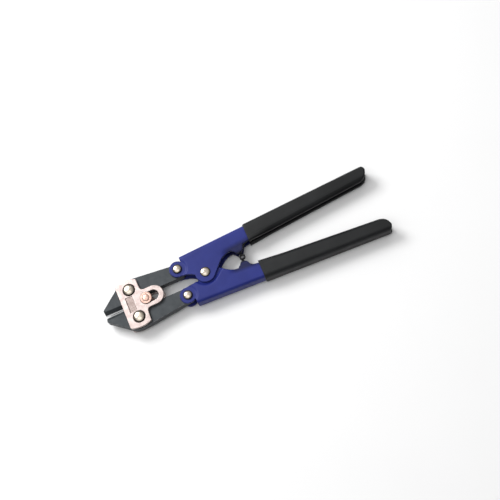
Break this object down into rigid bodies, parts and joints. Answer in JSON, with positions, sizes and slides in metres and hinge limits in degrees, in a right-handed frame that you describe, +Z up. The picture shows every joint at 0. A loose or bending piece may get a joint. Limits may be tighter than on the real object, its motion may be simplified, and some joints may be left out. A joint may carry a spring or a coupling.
{
  "type": "bolt cutters",
  "caption": "Small bolt cutters: short bevelled jaws between link plates, driven by pressed channel handles with vinyl grips and a return spring.",
  "frame": {"origin": "centre of the tool's outline, on the surface that it lies on", "axes": "+X along the tool from the jaw tips to the handle ends, +Y towards the upper handle, +Z up through the thickness"},
  "size_m": [0.206, 0.0522, 0.013],
  "materials": {
    "nickel_plate": "nickel-plated, softly polished",
    "rivet_steel": "polished rivet heads",
    "stud_steel": "coppery plated, satin",
    "jaw_steel": "blackened forged steel, satin",
    "blue_paint": "semi-gloss enamel",
    "black_vinyl": "dipped vinyl, satin",
    "spring_wire": "black spring wire"
  },
  "bodies": {
    "link_plates": {"front_link_plate": "nickel_plate", "back_link_plate": "nickel_plate", "upper_jaw_pin": "rivet_steel", "lower_jaw_pin": "rivet_steel"},
    "upper_jaw": {"upper_jaw": "jaw_steel"},
    "lower_jaw": {"lower_jaw": "jaw_steel"},
    "center_stud": {"center_stud": "stud_steel", "stud_roller": "jaw_steel", "front_stud_washer": "stud_steel", "back_stud_washer": "stud_steel"},
    "upper_handle": {"upper_handle": "blue_paint", "upper_grip": "black_vinyl", "upper_ear_rivet": "rivet_steel", "handle_rivet": "rivet_steel", "handle_bush": "jaw_steel"},
    "lower_handle": {"lower_handle": "blue_paint", "lower_grip": "black_vinyl", "lower_ear_rivet": "rivet_steel"},
    "spring_coil": {"spring_coil": "spring_wire"},
    "spring_upper_leg": {"spring_upper_leg": "spring_wire"},
    "spring_lower_leg": {"spring_lower_leg": "spring_wire"}
  },
  "joints": [
    {"name": "upper_handle_pivot", "type": "hinge", "parent": "upper_jaw", "child": "upper_handle", "pos_m": [-0.0445, 0.0103, 0.0065], "axis": [0, 0, 1], "range_deg": [-4.2, 16.5], "stiffness_Nm_per_rad": 0.8},
    {"name": "lower_handle_pivot", "type": "hinge", "parent": "lower_jaw", "child": "lower_handle", "pos_m": [-0.0445, -0.0103, 0.0065], "axis": [0, 0, -1], "range_deg": [-4.3, 16.6]},
    {"name": "upper_jaw_pivot", "type": "hinge", "parent": "link_plates", "child": "upper_jaw", "pos_m": [-0.0809, 0.0104, 0.0065], "axis": [0, 0, -1], "range_deg": [-1.45, 5.55]},
    {"name": "lower_jaw_pivot", "type": "hinge", "parent": "link_plates", "child": "lower_jaw", "pos_m": [-0.0809, -0.0104, 0.0065], "axis": [0, 0, 1], "range_deg": [-1.45, 5.55]},
    {"name": "stud_slide", "type": "slide", "parent": "link_plates", "child": "center_stud", "axis": [1, 0, 0], "range_m": [-0.0006, 0.0022]},
    {"name": "spring_coil_pivot", "type": "hinge", "parent": "upper_handle", "child": "spring_coil", "pos_m": [-0.0273, 0, 0.0065], "axis": [0, 0, -1], "range_deg": [-2.9, 11.1]},
    {"name": "spring_upper_leg_flex", "type": "hinge", "parent": "spring_coil", "child": "spring_upper_leg", "pos_m": [0.0003, 0.001, 0.0065], "axis": [0, 0, 1], "range_deg": [-6.3, 24.6]},
    {"name": "spring_lower_leg_flex", "type": "hinge", "parent": "spring_coil", "child": "spring_lower_leg", "pos_m": [0.0003, 0.001, 0.0065], "axis": [0, 0, -1], "range_deg": [-6.3, 24.6]}
  ],
  "couplings": [
    {"joint": "lower_handle_pivot", "follows": "upper_handle_pivot", "ratio": 1},
    {"joint": "upper_jaw_pivot", "follows": "upper_handle_pivot", "ratio": 0.3322},
    {"joint": "lower_jaw_pivot", "follows": "upper_handle_pivot", "ratio": 0.3322},
    {"joint": "stud_slide", "follows": "upper_handle_pivot", "m_per_rad": 0.0073},
    {"joint": "spring_coil_pivot", "follows": "upper_handle_pivot", "ratio": 0.6678},
    {"joint": "spring_upper_leg_flex", "follows": "upper_handle_pivot", "ratio": 1.46},
    {"joint": "spring_lower_leg_flex", "follows": "upper_handle_pivot", "ratio": 1.44}
  ]
}
